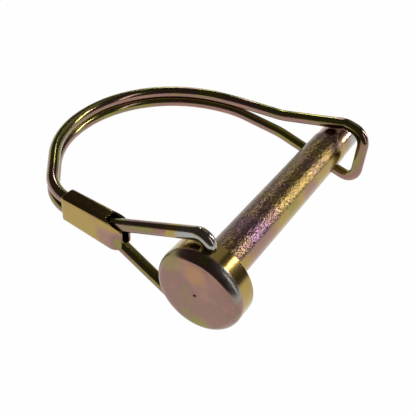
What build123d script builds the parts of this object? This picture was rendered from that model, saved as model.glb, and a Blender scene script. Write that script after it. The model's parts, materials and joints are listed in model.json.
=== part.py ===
from build123d import *
import os
from math import asin, atan2, hypot, isclose, tan

# Wire lock pin: a headed pin with a spring wire bail that snaps round its tip.
# Everything is worked out with X along the shank towards the tip, Z along the
# cross hole in the head and the origin where the two meet. Last of all the pin
# is laid down on the wire, the way it comes to rest. Millimetres throughout.

# Pin
shank_diameter = 10.0
grip_end = 61.0
tip_relief = 0.2
tip_end = 71.5
tip_rounding = 1.8
head_diameter = 20.4
head_side = 4.3
crown_height = 2.6
crown_bulge = 0.5
face_diameter = 17.2
head_edge = 0.35
neck_fillet = 0.6
centre_mark_diameter = 1.0
centre_mark_depth = 0.5

# Bail wire and the gaps that it keeps
wire_diameter = 3.0
hole_clearance = 0.05
snap_clearance = 0.25
strand_gap = 0.12
wire_end_depth = 7.0
mouth_depth = 0.25

# Corners of the wire's route, seen along the cross hole, each with its bend
hook_bend = 2.3
leg_end = (0.8, 26.4)
leg_end_bend = 14.0
shoulder = (1.8, 45.0)
shoulder_bend = 13.0
crest = (20.2, 60.1)
crest_bend = 28.4
far_corner = (57.4, 60.7)
far_corner_bend = 32.2
parting = (63.6, 30.3)
parting_bend = 32.0
spread = (63.5, 15.6)
spread_height = 2.8
spread_bend = 21.0
crossing = (63.5, -2.8)
crossing_bend = 4.0
closed_end = (61.9, -8.9)
closed_end_height = 7.4
closed_end_bend = 3.8

# Clip, a crimped sheet sleeve
clip_sheet = 0.6
clip_clearance = 0.12
clip_start = 0.3
clip_tongue = -4.4
clip_finish = 13.0
clip_flare = 0.45
clip_bend = 1.15
tongue_height = 5.0
tongue_corner = 1.6

# How finely the wire is searched for the three spots that it lies on
floor_spots = 600
floor_rounds = 8

shank_radius = shank_diameter / 2
tip_radius = shank_radius - tip_relief
head_radius = head_diameter / 2
wire_radius = wire_diameter / 2
strand_height = wire_radius + strand_gap / 2


def make_pin():
    """The pin turned from one profile, with its cross hole and centre mark."""
    back = head_side / 2
    front = -back - crown_height
    face_radius = face_diameter / 2
    mark_radius = centre_mark_diameter / 2
    with BuildPart() as pin:
        with BuildSketch(Plane.XY):
            with BuildLine():
                Polyline((front + centre_mark_depth, 0), (front, mark_radius), (front, face_radius))
                crown_edge = (-back, head_radius)
                ThreePointArc((front, face_radius), crown_middle(front, face_radius, crown_edge), crown_edge)
                Polyline(
                    crown_edge,
                    (back, head_radius),
                    (back, shank_radius),
                    (grip_end, shank_radius),
                    (grip_end + tip_relief, tip_radius),
                    (tip_end, tip_radius),
                    (tip_end, 0),
                    (front + centre_mark_depth, 0),
                )
            make_face()
            chamfer(vertex_at(back, head_radius), head_edge)
            fillet(vertex_at(back, shank_radius), neck_fillet)
            fillet(vertex_at(tip_end, tip_radius), tip_rounding)
        revolve(axis=Axis.X)
        Cylinder(wire_radius + hole_clearance, head_diameter * 2, mode=Mode.SUBTRACT)
    return pin.part


def crown_middle(front, face_radius, crown_edge):
    """The middle of the crown's rounded shoulder, out beyond its chord."""
    across = (front + crown_edge[0]) / 2, (face_radius + crown_edge[1]) / 2
    run, rise = crown_edge[0] - front, crown_edge[1] - face_radius
    chord = hypot(run, rise)
    return across[0] - rise / chord * crown_bulge, across[1] + run / chord * crown_bulge


def vertex_at(x, y):
    """The corner of the sketch in progress that lies at x, y."""
    corners = BuildSketch._get_context().vertices()
    return min(corners, key=lambda v: hypot(v.X - x, v.Y - y))


def hook_top():
    """Height of the hook's corner, from the leg's line tangent to the hook's bend."""
    mouth = head_radius - mouth_depth
    reach = hypot(*leg_end)
    run, rise = reach - hook_bend, mouth - strand_height
    slope = asin(hook_bend / hypot(run, rise)) + atan2(rise, run)
    return strand_height + reach * tan(slope)


def crossing_height():
    """Height of the corner past the shank, on the line that just clears it."""
    clear = tip_radius + wire_radius + snap_clearance
    slope = asin(clear / hypot(spread[1], spread_height)) - atan2(spread_height, spread[1])
    return spread_height + (spread[1] - crossing[1]) * tan(slope)


def bail_path():
    """The wire's centre line: straight runs joined by tangent arcs, mirrored below."""
    corners = [
        ((0, 0, head_radius - wire_end_depth), None),
        ((0, 0, hook_top()), hook_bend),
        ((*leg_end, strand_height), leg_end_bend),
        ((*shoulder, strand_height), shoulder_bend),
        ((*crest, strand_height), crest_bend),
        ((*far_corner, strand_height), far_corner_bend),
        ((*parting, strand_height), parting_bend),
        ((*spread, spread_height), spread_bend),
        ((*crossing, crossing_height()), crossing_bend),
        ((*closed_end, closed_end_height), closed_end_bend),
    ]
    below = [((x, y, -z), bend) for (x, y, z), bend in reversed(corners)]
    route = corners + below
    points = [point for point, bend in route]
    bends = [bend for point, bend in route[1:-1]]
    return FilletPolyline(*points, radius=bends)


def make_bail(path):
    """One spring wire: a rod or a ring's segment for each run and bend, joined end to end."""
    lengths = []
    for run in path.edges():
        profile = Plane(origin=run @ 0, z_dir=run % 0) * Circle(wire_radius)
        lengths.append(sweep(profile, path=run))
    return lengths[0].fuse(*lengths[1:])


def clip_side(sheet):
    """The clip seen from the side: outside it, or the hollow if sheet is 0."""
    low = strand_height + wire_radius + clip_clearance + sheet
    high = low + clip_flare
    half_tongue = tongue_height / 2
    points = [(clip_finish, low), (clip_start, high), (clip_tongue, half_tongue)]
    if not sheet:
        slope = (high - low) / (clip_finish - clip_start)
        past = clip_finish + clip_sheet
        before = clip_tongue - clip_sheet
        points = [(past, low - slope * clip_sheet), (before, high + slope * (clip_start - before))]
    outline = points + [(s, -z) for s, z in reversed(points)]
    return Polyline(*outline, close=True)


def make_clip():
    """A flattened sleeve round both strands, flared and tongued towards the legs."""
    start = Vector(*leg_end)
    along = (Vector(*shoulder) - start).normalized()
    side = Plane(origin=start, x_dir=along, z_dir=along.cross(Vector(0, 0, 1)))
    half_hollow = wire_radius + clip_clearance
    shapes = []
    for sheet in (clip_sheet, 0):
        face = make_face(side * clip_side(sheet))
        block = extrude(face, half_hollow + sheet, both=True)
        long_edges = [e for e in block.edges() if e.length > clip_finish - clip_start]
        shapes.append(fillet(long_edges, clip_bend - clip_sheet + sheet))
    sleeve = shapes[0] - shapes[1]
    tongue_edges = [
        e
        for e in sleeve.edges()
        if isclose(side.to_local_coords(e.center()).X, clip_tongue, abs_tol=clip_sheet)
        and isclose(e.length, clip_sheet, rel_tol=clip_sheet)
    ]
    return fillet(tongue_edges, tongue_corner)


def resting_plane(path):
    """The floor under the wire: it lies on a hook, on the closed end and on the loop."""
    spots = [path @ (i / floor_spots) for i in range(floor_spots // 2, floor_spots + 1)]
    normal = Vector(0, 0, 1)
    zones = (
        lambda p: p.Y < leg_end[1] and p.X < crest[0],
        lambda p: p.Y < spread[1] and p.X > crest[0],
        lambda p: p.Y > shoulder[1],
    )
    for _ in range(floor_rounds):
        feet = [min(filter(zone, spots), key=normal.dot) for zone in zones]
        normal = (feet[1] - feet[0]).cross(feet[2] - feet[0]).normalized()
    floor = feet[0] - normal * wire_radius
    along = Vector(1, 0, 0) - normal * normal.X
    return Plane(origin=floor, x_dir=along, z_dir=normal)


route = bail_path()
pieces = {"pin": make_pin(), "wire_bail": make_bail(route), "clip": make_clip()}
floor = resting_plane(route)
laid = {name: floor.to_local_coords(piece.solid()) for name, piece in pieces.items()}
box = Compound(list(laid.values())).bounding_box()
to_middle = Pos(-box.center().X, -box.center().Y, 0)

os.makedirs("parts", exist_ok=True)
for name, piece in laid.items():
    export_step(to_middle * piece, f"parts/{name}.step")
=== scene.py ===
import json
import math

import bmesh
import bpy
import numpy as np
from mathutils import Matrix


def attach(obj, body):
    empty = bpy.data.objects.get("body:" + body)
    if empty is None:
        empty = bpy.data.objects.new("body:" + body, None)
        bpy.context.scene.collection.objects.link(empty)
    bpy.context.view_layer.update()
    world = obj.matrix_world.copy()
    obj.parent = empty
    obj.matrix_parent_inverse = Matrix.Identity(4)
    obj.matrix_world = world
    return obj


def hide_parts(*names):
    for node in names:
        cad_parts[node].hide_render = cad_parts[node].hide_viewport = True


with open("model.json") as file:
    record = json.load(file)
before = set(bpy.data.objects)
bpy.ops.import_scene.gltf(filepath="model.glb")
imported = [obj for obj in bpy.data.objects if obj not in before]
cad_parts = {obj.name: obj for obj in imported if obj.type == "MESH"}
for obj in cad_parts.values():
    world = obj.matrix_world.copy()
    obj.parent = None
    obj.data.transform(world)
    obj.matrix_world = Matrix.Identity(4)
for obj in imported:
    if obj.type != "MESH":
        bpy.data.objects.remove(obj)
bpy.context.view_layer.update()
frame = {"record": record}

bl_info = {
    "name": "Wire lock pin",
    "version": (1, 0, 0),
    "blender": (4, 5, 0),
    "location": "View3D > Sidebar > Lock pin",
    "description": "Builds a plated lock pin, its spring wire bail and its crimped clip",
    "category": "Add Mesh",
}

RECORD = frame["record"]
SWING = RECORD["behaviour"]["joints"][0]
SHANK = next(m for m in RECORD["mounts"] if m["name"] == "shank")
MM = 0.001

# Points closer than the first are merged, and edges shorter than the second are dropped.
MERGE_DISTANCE = 1e-6
SLIVER_LENGTH = 1e-7

# The film's colours in the order that they come as it thickens from 0 to 1.
FILM_LAYERS = (
    (0.0, "bare"),
    (0.16, "gold"),
    (0.30, "gold"),
    (0.42, "rose"),
    (0.50, "mauve"),
    (0.60, "olive"),
    (0.72, "gold"),
    (0.84, "rose"),
    (1.0, "olive"),
)
PLAIN_FILM = 0.27

WHITE = (1.0, 1.0, 1.0)
ROOM_LOW = (0.85, 0.85, 0.85)
ROOM_HIGH = (0.055, 0.05, 0.05)
HORIZON = (-0.04, 0.12)
FLOOR_REACH = 3.0
FLOOR_DROP = 0.02 * MM
FLOOR_GLOW = 0.99
SENSOR_WIDTH = 36.0
NEAREST_SEEN = 0.01

# Each lamp's place in the upright pin's frame, the spot on the floor that it faces, its width and
# its height, in metres.
LAMPS = {
    "window": ((0.40, -0.27, 0.21), (0, 0, 0), 0.045, 0.30),
    "panel": ((0.40, 0.03, 0.38), (0, 0, 0), 0.25, 0.25),
    "key": ((0.375, 0.255, 0.255), (0, 0.03, 0), 0.05, 0.05),
    "side": ((0.03, -0.42, 0.22), (-0.03, 0, 0), 0.05, 0.40),
}


def unit(vector):
    """A vector of the same direction, one long."""
    vector = np.asarray(vector, float)
    return vector / np.linalg.norm(vector)


PIN_MIDDLE = np.array(SWING["pos_m"], float)
PIN_UP = unit(SWING["axis"])
PIN_ALONG = unit(SHANK["axis"] - PIN_UP * np.dot(SHANK["axis"], PIN_UP))
PIN_AXES = np.column_stack([PIN_ALONG, np.cross(PIN_UP, PIN_ALONG), PIN_UP])


def laid(points):
    """Points p of the upright pin as they lie on the floor: the pin's middle plus axes times p.

    The upright pin has X along its shank and Z along its cross hole."""
    return PIN_MIDDLE + np.asarray(points, float) @ PIN_AXES.T


def turn(axis, angles):
    """Rotation matrices about a unit axis k, one for each angle a.

    Each is I cos a + K sin a + k k^T (1 - cos a), where K v is the cross product of k and v."""
    x, y, z = axis
    cross = np.array([[0, -z, y], [z, 0, -x], [-y, x, 0]])
    c, s = np.cos(angles)[:, None, None], np.sin(angles)[:, None, None]
    return np.eye(3) * c + cross * s + np.outer(axis, axis) * (1 - c)


def bent_line(corners, bends, spacing, arc_steps=16):
    """Straight runs joined by tangent arcs.

    A bend of radius r and turn t starts r tan(t/2) before its corner. Gives the points, and at each
    its tangent and two directions across, carried along without twist."""
    off_axis = [0.3, 1.0, 0.2]
    corners = np.asarray(corners, float)
    runs = np.diff(corners, axis=0)
    lengths = np.linalg.norm(runs, axis=1)
    ways = runs / lengths[:, None]
    turns = np.arccos(np.clip(np.sum(ways[:-1] * ways[1:], axis=1), -1, 1))
    cuts = np.concatenate([[0], np.asarray(bends) * np.tan(turns / 2), [0]])
    side = unit(np.cross(ways[0], off_axis))
    frames = np.column_stack([ways[0], side, np.cross(ways[0], side)])
    points, axes = [], []
    for i, way in enumerate(ways):
        start = corners[i] + way * cuts[i]
        straight = max(lengths[i] - cuts[i] - cuts[i + 1], 0.0)
        count = max(int(straight / spacing), 1)
        along = np.linspace(0, straight, count + 1)[:, None]
        points.append(start + along * way)
        axes.append(np.repeat(frames[None], count + 1, axis=0))
        if i < len(turns):
            axis = unit(np.cross(way, ways[i + 1]))
            spins = turn(axis, np.linspace(0, turns[i], arc_steps + 1))
            to_start = -np.cross(axis, way) * bends[i]
            centre = start + straight * way - to_start
            points.append((centre + spins @ to_start)[1:-1])
            axes.append((spins @ frames)[1:-1])
            frames = spins[-1] @ frames
    return np.concatenate(points), np.concatenate(axes)


def cells(rows, columns, endless=False):
    """Four corners of each cell of a grid of points, row by row.

    The last column joins the first, and if endless, the last row joins the first too."""
    i = np.arange(rows if endless else rows - 1)[:, None]
    j = np.arange(columns)[None]
    below, above = i * columns, (i + 1) % rows * columns
    right = (j + 1) % columns
    quads = np.stack([below + j, below + right, above + right, above + j], axis=-1)
    return quads.reshape(-1, 4)


def make_piece(name, points, quads, body, node, attributes, crease=35):
    """A mesh of quads at its place on the floor, smooth but for edges past crease degrees."""
    mesh = bpy.data.meshes.new(name)
    mesh.vertices.add(len(points))
    mesh.vertices.foreach_set("co", laid(points).astype(np.float32).ravel())
    mesh.loops.add(quads.size)
    mesh.loops.foreach_set("vertex_index", quads.astype(np.int32).ravel())
    mesh.polygons.add(len(quads))
    mesh.polygons.foreach_set("loop_start", np.arange(0, quads.size, 4, dtype=np.int32))
    mesh.update(calc_edges=True)
    for label, values in attributes.items():
        kind, field = ("FLOAT", "value") if values.ndim == 1 else ("FLOAT_VECTOR", "vector")
        layer = mesh.attributes.new(label, kind, "POINT")
        layer.data.foreach_set(field, values.astype(np.float32).ravel())
    mesh.validate()
    work = bmesh.new()
    work.from_mesh(mesh)
    bmesh.ops.remove_doubles(work, verts=work.verts, dist=MERGE_DISTANCE)
    bmesh.ops.dissolve_degenerate(work, edges=work.edges, dist=SLIVER_LENGTH)
    bmesh.ops.recalc_face_normals(work, faces=work.faces)
    work.to_mesh(mesh)
    work.free()
    mesh.polygons.foreach_set("use_smooth", np.ones(len(mesh.polygons), bool))
    mesh.set_sharp_from_angle(angle=math.radians(crease))
    piece = bpy.data.objects.new(name, mesh)
    bpy.context.scene.collection.objects.link(piece)
    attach(piece, body)
    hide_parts(node)
    return piece


class Shade:
    """A socket's value in the nodes of a material or world.

    + - * add Math nodes on values, and Vector Math nodes on vectors and colours."""

    def __init__(self, tree, socket):
        self.tree, self.socket = tree, socket
        self.wide = socket.type in {"VECTOR", "RGBA"}

    def maths(self, operation, *others):
        return self.tree.maths(operation, self, *others)

    def __add__(self, other):
        return self.maths("ADD", other)

    def __radd__(self, other):
        return self.maths("ADD", other)

    def __sub__(self, other):
        return self.maths("SUBTRACT", other)

    def __rsub__(self, other):
        return self.tree.maths("SUBTRACT", other, self)

    def __mul__(self, other):
        return self.maths("MULTIPLY", other)

    def __rmul__(self, other):
        return self.maths("MULTIPLY", other)

    def clipped(self, low, high):
        """0 at low and below, 1 at high and above, eased between."""
        settings = {"interpolation_type": "SMOOTHSTEP", "clamp": True}
        given = {"Value": self, "From Min": low, "From Max": high}
        return self.tree.node("ShaderNodeMapRange", settings, given)


class Tree:
    """The nodes of one material or world, emptied first."""

    def __init__(self, owner):
        owner.use_nodes = True
        self.nodes, self.links = owner.node_tree.nodes, owner.node_tree.links
        self.nodes.clear()

    def node(self, kind, settings=None, sockets=None, output=0):
        """A node of that type. Its settings are made first, then its sockets' values or links."""
        made = self.nodes.new(kind)
        for label, value in (settings or {}).items():
            if label == "stops":
                ramp = made.color_ramp
                while len(ramp.elements) < len(value):
                    ramp.elements.new(0.5)
                for element, (place, colour) in zip(ramp.elements, value):
                    element.position, element.color = place, (*colour, 1.0)
            else:
                setattr(made, label, value)
        for label, value in (sockets or {}).items():
            socket = made.inputs[label]
            if isinstance(value, Shade):
                self.links.new(value.socket, socket)
            elif socket.type == "RGBA" and len(value) == 3:
                socket.default_value = (*value, 1.0)
            else:
                socket.default_value = value
        return Shade(self, made.outputs[output]) if len(made.outputs) else None

    def maths(self, operation, *given):
        """A Math node, or a Vector Math node if a vector or colour is among what is given."""
        wide = any(g.wide if isinstance(g, Shade) else isinstance(g, tuple) for g in given)
        if wide:
            given = [(g, g, g) if isinstance(g, (int, float)) else g for g in given]
        kind = "ShaderNodeVectorMath" if wide else "ShaderNodeMath"
        return self.node(kind, {"operation": operation}, dict(enumerate(given)))

    def where(self):
        return self.node("ShaderNodeTexCoord", output="Object")

    def part(self, vector, axis):
        """The X, Y or Z of a vector."""
        return self.node("ShaderNodeSeparateXYZ", None, {0: vector}, output=axis)

    def scaled(self, vector, scale):
        """A vector with its parts scaled: a pattern on it is drawn out where the scale is small."""
        return self.node("ShaderNodeMapping", None, {"Vector": vector, "Scale": scale})

    def attribute(self, label, output="Vector"):
        return self.node("ShaderNodeAttribute", {"attribute_name": label}, output=output)

    def noise(self, place, size, detail=2.0, rough=0.5, distortion=0.0):
        """Cloudy noise, 0 to 1, with lumps about size metres across."""
        given = {
            "Vector": place,
            "Scale": 1 / size,
            "Detail": detail,
            "Roughness": rough,
            "Distortion": distortion,
        }
        return self.node("ShaderNodeTexNoise", None, given)

    def cellular(self, place, size):
        """Distance to the nearest of scattered points, about size metres apart."""
        return self.node("ShaderNodeTexVoronoi", None, {"Vector": place, "Scale": 1 / size})

    def ramp(self, value, stops):
        return self.node("ShaderNodeValToRGB", {"stops": stops}, {"Fac": value})

    def mix(self, amount, first, second):
        """Colour between first and second."""
        given = {0: amount, 6: first, 7: second}
        return self.node("ShaderNodeMix", {"data_type": "RGBA"}, given, output=2)

    def bump(self, height, depth, strength):
        given = {"Height": height, "Distance": depth, "Strength": strength}
        return self.node("ShaderNodeBump", None, given)

    def metal(self, colour, roughness, normal):
        given = {
            "Base Color": colour,
            "Roughness": roughness,
            "Metallic": 1.0,
            "Normal": normal,
        }
        shader = self.node("ShaderNodeBsdfPrincipled", None, given)
        self.node("ShaderNodeOutputMaterial", None, {"Surface": shader})


def colour_property(name, default, description):
    return bpy.props.FloatVectorProperty(
        name=name, description=description, default=default, size=3, min=0, max=1, subtype="COLOR"
    )


def size_property(name, default, description):
    """A length, given here in millimetres and kept in metres."""
    return bpy.props.FloatProperty(
        name=name,
        description=description,
        default=default * MM,
        min=0,
        unit="LENGTH",
        subtype="DISTANCE",
        precision=5,
    )


def power_property(name, default, description):
    """A lamp's power in watts."""
    return bpy.props.FloatProperty(
        name=name, description=description, default=default, unit="POWER", min=0
    )


def place_property(name, default, description):
    """A point of the upright pin's frame, given here in millimetres and kept in metres."""
    return bpy.props.FloatVectorProperty(
        name=name,
        description=description,
        default=tuple(v * MM for v in default),
        size=len(default),
        unit="LENGTH",
        subtype="TRANSLATION" if len(default) == 3 else "NONE",
        precision=5,
    )


class PlatingColours(bpy.types.PropertyGroup):
    bare: colour_property("Bare zinc", (0.37, 0.38, 0.36), "Bluish grey where the film is thin")
    gold: colour_property("Gold", (0.40, 0.28, 0.08), "Thin yellow film")
    amber: colour_property("Amber", (0.45, 0.24, 0.10), "Orange film in small patches")
    rose: colour_property("Rose", (0.33, 0.19, 0.145), "Pink film")
    mauve: colour_property("Mauve", (0.27, 0.155, 0.135), "Film on its way to purple")
    violet: colour_property("Violet", (0.30, 0.15, 0.34), "Purple film in small patches")
    olive: colour_property("Olive", (0.24, 0.25, 0.05), "Greenish film")
    # Brown is painted shade in the shank's pits and on the clip's roof and floor, and random dull
    # marks on the wire.
    brown: colour_property("Brown", (0.10, 0.065, 0.04), "Thick dull film in the pits")


class PinSizes(bpy.types.PropertyGroup):
    shank_diameter: size_property("Shank diameter", 2 * SHANK["dims"]["r_mm"], "Across the shank")
    grip_end: size_property(
        "Grip end", 61.0, "From the cross hole to where the shank steps down to its tip"
    )
    tip_relief: size_property("Tip relief", 0.2, "How much smaller the tip's radius is")
    tip_end: size_property("Tip", 71.5, "From the cross hole to the tip")
    tip_rounding: size_property("Tip rounding", 1.8, "Radius of the tip's edge")
    head_diameter: size_property("Head diameter", 20.4, "Across the head")
    head_side: size_property(
        "Head side", 4.3, "Length of the head's straight side, centred on the cross hole"
    )
    crown_height: size_property("Crown height", 2.6, "From the straight side to the flat face")
    crown_bulge: size_property(
        "Crown bulge", 0.5, "How far the crown's shoulder stands out from its chord"
    )
    face_diameter: size_property("Face diameter", 17.2, "Across the flat face")
    head_edge: size_property("Head edge", 0.35, "Chamfer of the head's back edge")
    neck_fillet: size_property("Neck fillet", 0.6, "Radius where the shank meets the head")
    mark_diameter: size_property("Centre mark", 1.0, "Across the dimple in the face")
    mark_depth: size_property("Centre mark depth", 0.5, "Depth of the dimple in the face")
    hole_clearance: size_property(
        "Hole clearance", 0.05, "Gap all round the wire in the cross hole"
    )
    mouth_rounding: size_property("Hole edge", 0.12, "Radius of the cross hole's edge")


class BailSizes(bpy.types.PropertyGroup):
    wire_diameter: size_property("Wire diameter", 3.0, "Across the wire")
    strand_gap: size_property("Strand gap", 0.12, "Gap between the two strands of the loop")
    snap_clearance: size_property("Snap clearance", 0.25, "Gap between the closed end and the tip")
    wire_end_depth: size_property(
        "Wire end depth", 7.0, "How far each end reaches into the cross hole"
    )
    mouth_depth: size_property(
        "Mouth depth", 0.25, "How far inside the mouth the hook's bend starts"
    )
    hook_bend: size_property("Hook bend", 2.3, "Radius at the cross hole")
    leg_end: place_property("Leg end", (0.8, 26.4), "Where the legs come together")
    leg_end_bend: size_property("Leg end bend", 14.0, "Radius where the legs come together")
    shoulder: place_property("Shoulder", (1.8, 45.0), "Corner past the clip")
    shoulder_bend: size_property("Shoulder bend", 13.0, "Radius past the clip")
    crest: place_property("Crest", (20.2, 60.1), "Corner at the top of the loop, head side")
    crest_bend: size_property("Crest bend", 28.4, "Radius there")
    far_corner: place_property(
        "Far corner", (57.4, 60.7), "Corner at the top of the loop, tip side"
    )
    far_corner_bend: size_property("Far corner bend", 32.2, "Radius there")
    parting: place_property("Parting", (63.6, 30.3), "Where the strands part")
    parting_bend: size_property("Parting bend", 32.0, "Radius there")
    spread: place_property("Spread", (63.5, 15.6, 2.8), "Corner before the shank")
    spread_bend: size_property("Spread bend", 21.0, "Radius there")
    crossing: place_property("Crossing", (63.5, -2.8), "Corner past the shank")
    crossing_bend: size_property("Crossing bend", 4.0, "Radius there")
    closed_end: place_property("Closed end", (61.9, -8.9, 7.4), "Corner of the closed end")
    closed_end_bend: size_property("Closed end bend", 3.8, "Radius there")


class ClipSizes(bpy.types.PropertyGroup):
    sheet: size_property("Sheet", 0.6, "Thickness of the sheet")
    clearance: size_property("Clearance", 0.12, "Gap between the sheet and the wire")
    start: size_property("Start", 0.3, "Where the roof starts, from the leg end towards the loop")
    finish: size_property("Finish", 13.0, "Where the clip ends, towards the loop")
    flare: size_property("Flare", 0.45, "How much taller it is on each side towards the legs")
    bend: size_property("Bend", 1.15, "Outer radius of the sheet's long bends")
    tongue: size_property("Tongue", 4.4, "How far the tongues run past the leg end")
    tongue_height: size_property("Tongue height", 5.0, "Height of the tongues' ends")
    tongue_corner: size_property("Tongue corner", 1.6, "Radius of the tongues' corners")
    curl: size_property("Curl", 0.55, "How far the tongues' ends lean in between the legs")
    curl_length: size_property("Curl length", 2.6, "Length of tongue that leans in")


class StageSettings(bpy.types.PropertyGroup):
    camera_place: place_property("Camera", (-83.560, -45.864, 101.925), "Camera in the pin's frame")
    camera_turn: bpy.props.FloatVectorProperty(
        name="Camera turn",
        description="Turn of the picture's axes from the pin's, as an axis times an angle",
        default=(2.0788, -1.0981, 0.5854),
        size=3,
        subtype="EULER",
    )
    lens: bpy.props.FloatProperty(
        name="Lens",
        description="Focal length on a 36 mm sensor",
        default=57.07,
        unit="CAMERA",
        min=1,
    )
    window_power: power_property("Window", 0.75, "Power of the soft window beyond the tip")
    panel_power: power_property("Panel", 0.06, "Power of the dim panel above the window")
    key_power: power_property("Key lamp", 0.12, "Power of the small bright lamp")
    side_power: power_property("Side lamp", 0.22, "Power of the lamp beside the head")
    floor_tone: colour_property("Floor", (0.93, 0.93, 0.93), "Colour of the pale floor")


def pin_profile(s):
    """Half outline of the pin from its face to its tip, as distance along the axis and radius.

    The crown is the circle through its two ends and a point that stands crown_bulge outside its
    chord. With chord c and bulge h its radius is (c^2 / 4 + h^2) / 2h."""
    crown_steps, face_steps, edge_steps, spacing = 15, 8, 10, 1.5 * MM
    kink_depth, kink_radius = 0.4, 0.62
    back, face = s.head_side / 2, s.face_diameter / 2
    front, head, shank = -back - s.crown_height, s.head_diameter / 2, s.shank_diameter / 2
    tip = shank - s.tip_relief
    mark = s.mark_diameter / 2
    first, last = np.array([front, face]), np.array([-back, head])
    chord = last - first
    length = np.linalg.norm(chord)
    rise = s.crown_bulge
    radius = (length**2 / 4 + rise**2) / (2 * rise)
    outward = np.array([-chord[1], chord[0]]) / length
    centre = (first + last) / 2 - outward * (radius - rise)
    half = math.asin(length / 2 / radius)
    sweep = np.linspace(-half, half, crown_steps)[:, None]
    crown = centre + radius * (np.cos(sweep) * outward + np.sin(sweep) * chord / length)
    kink = [front + s.mark_depth * kink_depth, mark * kink_radius]
    dimple = np.array([[front + s.mark_depth, 0], kink, [front, mark]])
    across = np.linspace(mark, face, face_steps)
    flat = np.column_stack([np.full(face_steps, front), across])[1:-1]
    corners = [
        (-back, head, 0),
        (back - s.head_edge, head, 0),
        (back, head - s.head_edge, 0),
        (back, shank, 0),
        (s.grip_end, shank, 0),
        (s.grip_end + s.tip_relief, tip, 0),
        (s.tip_end, tip, 0),
        (s.tip_end, 0, 0),
    ]
    worn = s.head_edge / 4
    bends = [worn, worn, s.neck_fillet, worn, worn, s.tip_rounding]
    rest, _ = bent_line(corners, bends, spacing, arc_steps=edge_steps)
    return np.vstack([dimple, flat, crown]), rest[:, :2]


def turned_on_lathe(profile, angles):
    """Revolved surface: (x, r sin a, r cos a) for each profile point (x, r) and each angle a."""
    x, r = profile[:, :1], profile[:, 1:]
    return np.stack([x + 0 * angles, r * np.sin(angles), r * np.cos(angles)], axis=-1)


def pin_surface(s, wire_diameter):
    """The revolved pin with its cross hole.

    The head's side is left out round the two mouths. There a ring of cells runs from the hole's
    circle out to that window's edge: (x, y) = (1 - t) circle + t edge, with z on the head's
    cylinder, sqrt(R^2 - y^2). The window is so many columns wide on each side of the hole."""
    columns, window = 264, 8
    band_rings, lip_rings, spread_rings, bore_rings = 13, 5, 6, 25
    angles = np.arange(columns) * 2 * np.pi / columns
    head = s.head_diameter / 2
    bore = wire_diameter / 2 + s.hole_clearance
    reach = bore + 3 * s.mouth_rounding / 2
    crown, rest = pin_profile(s)
    before = np.vstack([crown, [-reach, head]])
    after = np.vstack([[reach, head], rest[rest[:, 0] > reach]])
    band = np.column_stack([np.linspace(-reach, reach, band_rings), np.full(band_rings, head)])
    parts, quads = [], []

    def add(points, faces):
        quads.append(faces + sum(len(p) for p in parts))
        parts.append(points.reshape(-1, 3))

    for profile in (before, after):
        add(turned_on_lathe(profile, angles), cells(len(profile), columns))
    side = cells(len(band), columns)
    column = side[:, 0] % columns
    half = columns // 2
    upper, lower = np.minimum(column, columns - 1 - column), np.abs(column - half + 0.5) - 0.5
    near = np.minimum(upper, lower)
    add(turned_on_lathe(band, angles), side[near >= window])

    edge = np.arange(-window, window + 1) * 2 * np.pi / columns
    flat = np.ones(len(band) - 1)
    ends = np.full(len(edge) - 1, reach)
    x = np.concatenate([-ends, band[:-1, 0], ends, band[:0:-1, 0]])
    slant = np.concatenate([edge[:-1], edge[-1] * flat, edge[:0:-1], edge[0] * flat])
    y = head * np.sin(slant)
    round_hole = np.stack([x, y]) / np.hypot(x, y)
    quarter = np.linspace(0, np.pi / 2, lip_rings)
    lip = bore + s.mouth_rounding * (1 - np.cos(quarter))
    drop = s.mouth_rounding * (1 - np.sin(quarter))
    share = np.linspace(0, 1, spread_rings)[1:, None, None]
    spread = (1 - share) * round_hole * lip[-1] + share * np.stack([x, y])
    flat_rings = np.concatenate([round_hole * lip[:, None, None], spread])
    sink = np.concatenate([drop, 0 * share.ravel()])[:, None]
    height = np.sqrt(head**2 - flat_rings[:, 1] ** 2) - sink
    mouth = np.stack([flat_rings[:, 0], flat_rings[:, 1], height], axis=-1)
    for sign in (1, -1):
        add(mouth * [1, 1, sign], cells(len(mouth), mouth.shape[1]))
    levels = np.linspace(1, -1, bore_rings)[:, None]
    x, y, height = mouth[0].T
    wall = np.stack([x + 0 * levels, y + 0 * levels, height * levels], axis=-1)
    add(wall, cells(len(wall), wall.shape[1]))
    return np.vstack(parts), np.vstack(quads)


def bail_corners(b, head_diameter, tip_diameter):
    """Corners and bends of the wire's line, mirrored below.

    The leg is tangent to the hook's bend, and past the shank the line just clears the tip: each
    slope is asin(radius or clearance / distance) with the slope of that distance added or taken
    off."""
    wire, head, tip = b.wire_diameter / 2, head_diameter / 2, tip_diameter / 2
    strand = wire + b.strand_gap / 2
    reach = math.hypot(*b.leg_end)
    run, rise = reach - b.hook_bend, head - b.mouth_depth - strand
    slope = math.asin(b.hook_bend / math.hypot(run, rise)) + math.atan2(rise, run)
    top = strand + reach * math.tan(slope)
    clear = tip + wire + b.snap_clearance
    _, out, up = b.spread
    slope = math.asin(clear / math.hypot(out, up)) - math.atan2(up, out)
    past = up + (out - b.crossing[1]) * math.tan(slope)
    corners = [
        (0, 0, head - b.wire_end_depth),
        (0, 0, top),
        (*b.leg_end, strand),
        (*b.shoulder, strand),
        (*b.crest, strand),
        (*b.far_corner, strand),
        (*b.parting, strand),
        tuple(b.spread),
        (*b.crossing, past),
        tuple(b.closed_end),
    ]
    bends = [
        b.hook_bend,
        b.leg_end_bend,
        b.shoulder_bend,
        b.crest_bend,
        b.far_corner_bend,
        b.parting_bend,
        b.spread_bend,
        b.crossing_bend,
        b.closed_end_bend,
    ]
    corners = np.array(corners)
    return np.vstack([corners, corners[::-1] * [1, 1, -1]]), bends + bends[::-1]


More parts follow.
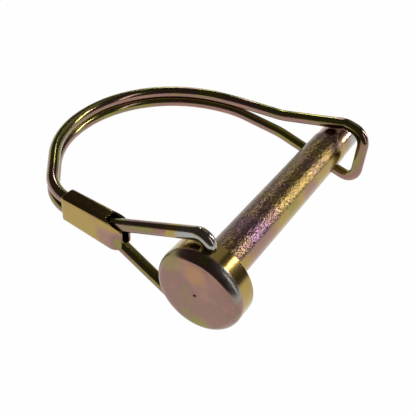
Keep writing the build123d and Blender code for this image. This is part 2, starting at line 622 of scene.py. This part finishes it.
def wire_surface(line, axes, radius):
    """Tube: p + r (n cos a + b sin a) at each point p of its line, with a dome on each end.

    The domes shrink r to 0. Gives also, for each point, where it is on the wire made straight
    (r cos a, r sin a, length) and how far it faces down."""
    columns, dome_rings, dome_depth = 40, 6, 1 / 4
    angles = np.arange(columns) * 2 * np.pi / columns
    ring = axes[:, :, 1:2] * np.cos(angles) + axes[:, :, 2:3] * np.sin(angles)
    ring = np.swapaxes(ring, 1, 2)
    dome = np.linspace(0, np.pi / 2, dome_rings)[:-1, None, None]
    dent = radius * dome_depth * (1 - np.sin(dome))
    start = line[0] + axes[0, :, 0] * dent + ring[0] * radius * np.sin(dome)
    finish = line[-1] - axes[-1, :, 0] * dent + ring[-1] * radius * np.sin(dome)
    points = np.concatenate([start, line[:, None] + ring * radius, finish[::-1]])
    step = np.concatenate([[0], np.cumsum(np.linalg.norm(np.diff(line, axis=0), axis=1))])
    ends = len(dome)
    lengths = np.concatenate([np.full(ends, step[0]), step, np.full(ends, step[-1])])
    along = lengths[:, None] + 0 * angles
    circle = radius * np.stack([np.cos(angles), np.sin(angles)], axis=-1)
    follow = np.concatenate([np.broadcast_to(circle, (*along.shape, 2)), along[..., None]], axis=-1)
    facing = np.concatenate([np.repeat(ring[:1], ends, 0), ring, np.repeat(ring[-1:], ends, 0)])
    under = -facing[..., 2].ravel()
    return points.reshape(-1, 3), cells(len(points), columns), follow.reshape(-1, 3), under


def rounded_box(half_width, half_height, corner, steps=9, sides=24):
    """Outline of a box with round corners: each corner's centre plus the corner radius times
    (cos a, sin a), and between the corners straight sides with evenly spread points."""
    quarter = np.linspace(0, np.pi / 2, steps)
    arc = np.stack([np.cos(quarter), np.sin(quarter)], axis=-1) * corner
    x, z = half_width - corner, half_height - corner
    arcs = [
        arc + [x, z],
        arc @ np.array([[0, 1], [-1, 0]]) + [-x, z],
        -arc + [-x, -z],
        arc @ np.array([[0, -1], [1, 0]]) + [x, -z],
    ]
    outline = []
    for one, other in zip(arcs, arcs[1:] + arcs[:1]):
        share = np.linspace(0, 1, sides + 2)[1:-1, None]
        outline += [one, one[-1] * (1 - share) + other[0] * share]
    return np.vstack(outline)


def clip_surface(c, b):
    """Sleeve: a rounded box carried along the strands, outside and back again inside, with a round
    rim at each end.

    Its half height grows evenly towards the legs, and a column at height z starts at the side
    outline's slanted edge, from the roof's start down to the tongue's rounded end. The tongues lean
    in by curl (1 - d / length)^2 at a distance d from their ends."""
    rows, corner_steps, rim_steps = 24, 12, 6
    rim_bulge, roof_ease = 0.3, 1.6
    strand = (b.wire_diameter + b.strand_gap) / 2
    wire = b.wire_diameter / 2
    start, shoulder = np.array([*b.leg_end, 0]), np.array([*b.shoulder, 0])
    along = unit(shoulder - start)
    across = np.cross([0, 0, 1], along)
    low = strand + wire + c.clearance

    def shell(sheet, share):
        """Points of the inside (sheet 0) or outside at shares of the way from legs to loop."""
        half_width = wire + c.clearance + sheet
        outline = rounded_box(half_width, low + sheet, c.bend - c.sheet + sheet)
        straight = (outline[:, 1:] / (low + sheet))[None, :, 0]
        high = low + sheet + c.flare
        tongue = [(-c.tongue, 0, 0), (-c.tongue, c.tongue_height / 2, 0), (c.start, high, 0)]
        edge, _ = bent_line(tongue, [c.tongue_corner], c.sheet, arc_steps=corner_steps)
        first = np.interp(np.abs(straight) * high, edge[:, 1], edge[:, 0])
        s = first + (c.finish - first) * share[:, None]
        height = low + sheet + c.flare * (c.finish - s) / (c.finish - c.start)
        eased = np.clip(np.abs(straight) * roof_ease, 0, 1)
        z = outline[:, 1][None] + np.sign(straight) * (height - (low + sheet)) * eased
        lean = c.curl * np.clip(1 - (s + c.tongue) / c.curl_length, 0, 1) ** 2
        w = outline[:, 0][None] - np.sign(outline[:, 0])[None] * lean
        flat = start + s[..., None] * along + w[..., None] * across
        return flat + z[..., None] * np.array([0, 0, 1])

    share = np.linspace(0, 1, rows)
    outer, inner = shell(c.sheet, share), shell(0.0, share)
    middle = (outer + inner) / 2
    bulge = np.linspace(0, np.pi, rim_steps)[1:-1, None, None]

    def rim(i, way):
        """Half an ellipse from the outside over the sheet's end to the inside, at row i."""
        push = along * way * c.sheet * rim_bulge
        return middle[i] + (outer[i] - middle[i]) * np.cos(bulge) + push * np.sin(bulge)

    points = np.concatenate([outer, rim(-1, 1), inner[::-1], rim(0, -1)[::-1]])
    return points.reshape(-1, 3), cells(len(points), points.shape[1], endless=True)


def film(tree, colours, thickness):
    """Colour of the plating's film, which changes in a set order as it thickens from 0 to 1."""
    return tree.ramp(thickness, [(at, tuple(getattr(colours, name))) for at, name in FILM_LAYERS])


def patch(tree, place, centre, reach):
    """1 round a spot of the upright pin, fading to 0 at reach. Both are in millimetres."""
    core = 0.35 * reach
    apart = place - tuple(c * MM for c in centre)
    settings = {"operation": "LENGTH"}
    length = tree.node("ShaderNodeVectorMath", settings, {0: apart}, output="Value")
    return 1 - length.clipped(core * MM, reach * MM)


def plated_pin(colours, s):
    """Smooth film on the head and tip; pitted skin with bright specks and painted shade in its
    pits.

    The masks are face for the flat front, crown for its rounded shoulder, skin for the pitted part
    of the shank, worn for all that isn't pitted, and tip for what lies past the grip's end."""
    material = bpy.data.materials.new("plated_pin")
    tree = Tree(material)
    place = tree.attribute("upright")
    x, y = tree.part(place, "X"), tree.part(place, "Y")
    side = s.head_side / 2
    face = 1 - x.clipped(-side - s.crown_height * 0.9, -side - s.crown_height * 0.6)
    crown = (1 - x.clipped(-side - 0.4 * MM, -side + 0.2 * MM)) * (1 - face)
    ragged = x + 1.6 * MM * tree.noise(place, 3 * MM)
    skin = x.clipped(side, side + 0.8 * MM)
    skin = skin * (1 - ragged.clipped(s.grip_end - 0.2 * MM, s.grip_end + 0.8 * MM))
    skin = skin * y.clipped(-4.4 * MM, -3.7 * MM)
    worn = 1 - skin
    tip = x.clipped(s.grip_end, s.grip_end + 1.0 * MM)

    slow = tree.noise(place, 7 * MM, distortion=0.3) - 0.5
    quick = tree.noise(place, 1.6 * MM, detail=3.0, rough=0.6) - 0.5
    thickness = PLAIN_FILM + face * 0.21 + crown * 0.27 + skin * 0.08 + tip * 0.12
    thickness = thickness + slow * (0.30 + 0.25 * crown + 0.35 * skin)
    hue = film(tree, colours, thickness + quick * (0.14 + 0.30 * skin))
    spots = (
        ((-4.75, 0.3, 5.8), 3.6, 0.6, colours.amber),
        ((-3.8, 6.5, 6.0), 4.2, 0.45, colours.olive),
        ((-4.5, -1.5, -8.8), 4.2, 0.7, colours.olive),
        ((16.0, -2.4, 4.4), 6.0, 0.6, colours.violet),
        ((16.5, -4.7, 1.0), 9.0, worn * 0.9, colours.rose),
        ((40.0, -4.7, 1.0), 5.0, worn * 0.9, colours.rose),
        ((31.0, -4.7, 1.0), 4.0, worn * 0.5, colours.olive),
        ((-2.6, -7.2, 7.0), 6.5, crown * 0.7, colours.bare),
        ((69.0, -4.0, 1.5), 6.0, tip * 0.8, colours.bare),
    )
    for centre, reach, strength, colour in spots:
        hue = tree.mix(patch(tree, place, centre, reach) * strength, hue, tuple(colour))

    grain = tree.noise(place, 0.40 * MM, rough=0.6)
    pits = tree.cellular(place, 0.42 * MM)
    # Painted shade: brown mixed into the pits of the shank's skin, with more of it towards +y.
    shade = y.clipped(-3.2 * MM, 1.5 * MM)
    painted_shade = skin * (1 - (grain + 0.25 * pits - 0.07 * shade).clipped(0.52, 0.70))
    hue = tree.mix(painted_shade * 0.85, hue, tuple(colours.brown))
    roughness = 0.12 + 0.10 * grain + skin * 0.04 + crown * (0.12 + 0.5 * quick)
    pit_depth, pit_strength = 0.12 * MM, 0.9
    normal = tree.bump((grain + 0.5 * pits) * (0.03 + skin), pit_depth, pit_strength)
    tree.metal(hue, roughness, normal)
    return material


def plated_wire(colours):
    """Film from olive and gold round the middle of the wire to rose under it, paler at the hook.

    Over it go dull marks and fine drawn lines."""
    material = bpy.data.materials.new("plated_wire")
    tree = Tree(material)
    follow, place = tree.attribute("follow"), tree.attribute("upright")
    under = tree.attribute("under", output="Fac")
    slow = tree.noise(tree.scaled(follow, (1.3, 1.3, 0.3)), 3.5 * MM, distortion=0.4) - 0.5
    quick = tree.noise(place, 0.9 * MM, detail=3.0) - 0.5
    hook = patch(tree, place, (0.0, 2.5, 10.0), 10.0)
    thickness = 0.50 - 0.08 * under + 0.48 * slow + 0.22 * quick - 0.50 * hook
    hue = film(tree, colours, thickness)
    drawn = tree.noise(tree.scaled(follow, (1, 1, 0.06)), 0.30 * MM)
    grain = tree.noise(place, 0.45 * MM, detail=3)
    marks = grain.clipped(0.60, 0.72)
    hue = tree.mix(marks * 0.5, hue, tuple(colours.brown))
    roughness = 0.10 + 0.10 * grain + 0.15 * marks
    line_depth, line_strength = 0.018 * MM, 0.5
    normal = tree.bump(drawn * 0.5 + grain * 0.5, line_depth, line_strength)
    tree.metal(hue, roughness, normal)
    return material


def plated_sheet(colours):
    """Smooth golden film, slow rose patches, faint rolled grain and painted shade on its roof and
    floor.
    """
    material = bpy.data.materials.new("plated_sheet")
    tree = Tree(material)
    place = tree.attribute("upright")
    slow = tree.noise(place, 6 * MM, detail=1.5, distortion=0.2) - 0.5
    thickness = PLAIN_FILM + 0.30 * slow
    thickness = thickness + 0.16 * patch(tree, place, (-1.2, 25.0, -2.0), 6.0)
    thickness = thickness + 0.13 * patch(tree, place, (-0.8, 21.2, -0.5), 4.4)
    hue = film(tree, colours, thickness)
    # Painted shade and dark reflection: brown mixed over the top and bottom of the sleeve.
    roof = tree.part(place, "Z").maths("ABSOLUTE").clipped(3.1 * MM, 3.6 * MM)
    painted_shade = roof * (0.9 - 0.8 * tree.noise(place, 1.2 * MM, detail=3))
    hue = tree.mix(painted_shade, hue, tuple(colours.brown))
    rolled = tree.noise(tree.scaled(place, (1, 0.12, 1)), 0.25 * MM)
    grain = tree.noise(place, 0.6 * MM, detail=3)
    roughness = 0.10 + 0.10 * grain
    grain_depth, grain_strength = 0.008 * MM, 0.4
    normal = tree.bump(rolled * 0.3 + grain * 0.7, grain_depth, grain_strength)
    tree.metal(hue, roughness, normal)
    return material


def seen_by_eye_or_mirror(tree):
    """1 for what the camera sees, also in metal and through glass, and 0 for light on things."""
    rays = ("Is Camera Ray", "Is Glossy Ray", "Is Transmission Ray")
    eye, mirror, glass = (tree.node("ShaderNodeLightPath", output=ray) for ray in rays)
    return eye.maths("MAXIMUM", mirror).maths("MAXIMUM", glass)


def pale_floor(tone):
    """Matt pale floor that looks white, and keeps only a trace of the shadows on it."""
    material = bpy.data.materials.new("pale_floor")
    tree = Tree(material)
    grain = tree.noise(tree.where(), 4 * MM)
    colour = tree.mix(grain * 0.02, tuple(tone), tuple(t * 0.97 for t in tone))
    matt = tree.node("ShaderNodeBsdfDiffuse", None, {"Color": colour})
    glow = tree.node("ShaderNodeEmission", None, {"Color": WHITE, "Strength": 1.0})
    share = seen_by_eye_or_mirror(tree) * FLOOR_GLOW
    surface = tree.node("ShaderNodeMixShader", None, {0: share, 1: matt, 2: glow})
    tree.node("ShaderNodeOutputMaterial", None, {"Surface": surface})
    return material


def stand(scene, name, data, place, axes):
    """Puts a lamp or the camera at a place, with its own three axes as columns."""
    made = bpy.data.objects.new(name, data)
    turned = np.vstack([np.column_stack([axes, place]), [0, 0, 0, 1]])
    made.matrix_world = Matrix(turned.tolist())
    scene.collection.objects.link(made)
    return made


class LOCKPIN_OT_pin(bpy.types.Operator):
    """Build the headed pin with its cross hole and pitted plating"""

    bl_idname = "lockpin.pin"
    bl_label = "Pin"

    def execute(self, context):
        scene = context.scene
        points, quads = pin_surface(scene.lockpin_pin, scene.lockpin_bail.wire_diameter)
        ways = {"upright": points}
        piece = make_piece("headed_pin", points, quads, "pin", "pin", ways)
        piece.data.materials.append(plated_pin(scene.lockpin_plating, scene.lockpin_pin))
        return {"FINISHED"}


class LOCKPIN_OT_bail(bpy.types.Operator):
    """Build the spring wire bail, one wire from end to end"""

    bl_idname = "lockpin.bail"
    bl_label = "Wire bail"

    def execute(self, context):
        scene = context.scene
        sizes, pin = scene.lockpin_bail, scene.lockpin_pin
        tip_diameter = pin.shank_diameter - 2 * pin.tip_relief
        corners, bends = bail_corners(sizes, pin.head_diameter, tip_diameter)
        line, axes = bent_line(corners, bends, 1.0 * MM)
        points, quads, follow, under = wire_surface(line, axes, sizes.wire_diameter / 2)
        ways = {"follow": follow, "under": under, "upright": points}
        piece = make_piece("spring_wire", points, quads, "bail", "wire_bail", ways)
        piece.data.materials.append(plated_wire(scene.lockpin_plating))
        return {"FINISHED"}


class LOCKPIN_OT_clip(bpy.types.Operator):
    """Build the crimped sleeve that holds the two strands together"""

    bl_idname = "lockpin.clip"
    bl_label = "Clip"

    def execute(self, context):
        scene = context.scene
        points, quads = clip_surface(scene.lockpin_clip, scene.lockpin_bail)
        ways = {"upright": points}
        piece = make_piece(
            "crimped_sleeve", points, quads, "bail", "clip", ways, crease=50
        )
        piece.data.materials.append(plated_sheet(scene.lockpin_plating))
        return {"FINISHED"}


class LOCKPIN_OT_stage(bpy.types.Operator):
    """Set the pale floor, the soft studio light and the camera"""

    bl_idname = "lockpin.stage"
    bl_label = "Stage"

    def execute(self, context):
        scene = context.scene
        stage = scene.lockpin_stage
        scene.view_settings.view_transform = "Standard"

        mesh = bpy.data.meshes.new("floor")
        signs = ((-1, -1), (1, -1), (1, 1), (-1, 1))
        corners = [(x * FLOOR_REACH, y * FLOOR_REACH, -FLOOR_DROP) for x, y in signs]
        mesh.from_pydata(corners, [], [(0, 1, 2, 3)])
        mesh.materials.append(pale_floor(stage.floor_tone))
        floor = bpy.data.objects.new("floor", mesh)
        scene.collection.objects.link(floor)

        world = bpy.data.worlds.new("studio")
        scene.world = world
        tree = Tree(world)
        up = tree.part(tree.node("ShaderNodeTexCoord", output="Generated"), "Z")
        eye = tree.node("ShaderNodeLightPath", output="Is Camera Ray")
        room = tree.mix(up.clipped(*HORIZON), ROOM_LOW, ROOM_HIGH)
        colour = tree.mix(eye, room, WHITE)
        glow = tree.node("ShaderNodeBackground", None, {"Color": colour, "Strength": 1.0})
        tree.node("ShaderNodeOutputWorld", None, {"Surface": glow})

        for name, (spot, aim, width, height) in LAMPS.items():
            data = bpy.data.lights.new(name, "AREA")
            data.shape, data.size, data.size_y = "RECTANGLE", width, height
            data.energy = getattr(stage, f"{name}_power")
            place = laid(spot)
            away = unit(np.subtract(place, aim))
            side = unit(np.cross([0, 0, 1], away))
            stand(scene, name, data, place, np.column_stack([side, np.cross(away, side), away]))

        # The picture's axes run right, down and into it. A camera's run right, up and out of it.
        x, y, z = np.array(stage.camera_turn)
        angle = math.sqrt(x * x + y * y + z * z)
        picture = turn(unit([x, y, z]), np.array([angle]))[0]
        axes = PIN_AXES @ np.column_stack([picture[0], -picture[1], -picture[2]])
        data = bpy.data.cameras.new("camera")
        data.sensor_width, data.lens, data.clip_start = SENSOR_WIDTH, stage.lens, NEAREST_SEEN
        camera = stand(scene, "camera", data, laid(np.array(stage.camera_place)), axes)
        scene.camera = camera
        return {"FINISHED"}


class LOCKPIN_PT_panel(bpy.types.Panel):
    """A button for each piece and the stage, and below them the sizes and colours"""

    bl_label = "Wire lock pin"
    bl_idname = "LOCKPIN_PT_panel"
    bl_space_type = "VIEW_3D"
    bl_region_type = "UI"
    bl_category = "Lock pin"

    def draw(self, context):
        for operator in OPERATORS:
            self.layout.operator(operator.bl_idname)
        for label, group in GROUPS.items():
            column = self.layout.column(heading=group.__name__)
            for field in group.__annotations__:
                column.prop(getattr(context.scene, label), field)


GROUPS = {
    "lockpin_plating": PlatingColours,
    "lockpin_pin": PinSizes,
    "lockpin_bail": BailSizes,
    "lockpin_clip": ClipSizes,
    "lockpin_stage": StageSettings,
}
OPERATORS = (LOCKPIN_OT_pin, LOCKPIN_OT_bail, LOCKPIN_OT_clip, LOCKPIN_OT_stage)


def register():
    for group in GROUPS.values():
        bpy.utils.register_class(group)
    for label, group in GROUPS.items():
        setattr(bpy.types.Scene, label, bpy.props.PointerProperty(type=group))
    for made in (*OPERATORS, LOCKPIN_PT_panel):
        bpy.utils.register_class(made)


def unregister():
    for made in (LOCKPIN_PT_panel, *reversed(OPERATORS)):
        bpy.utils.unregister_class(made)
    for label in GROUPS:
        delattr(bpy.types.Scene, label)
    for group in reversed(list(GROUPS.values())):
        bpy.utils.unregister_class(group)


def main():
    register()
    for operator in OPERATORS:
        group, name = operator.bl_idname.split(".")
        getattr(getattr(bpy.ops, group), name)()


if __name__ == "__main__":
    main()
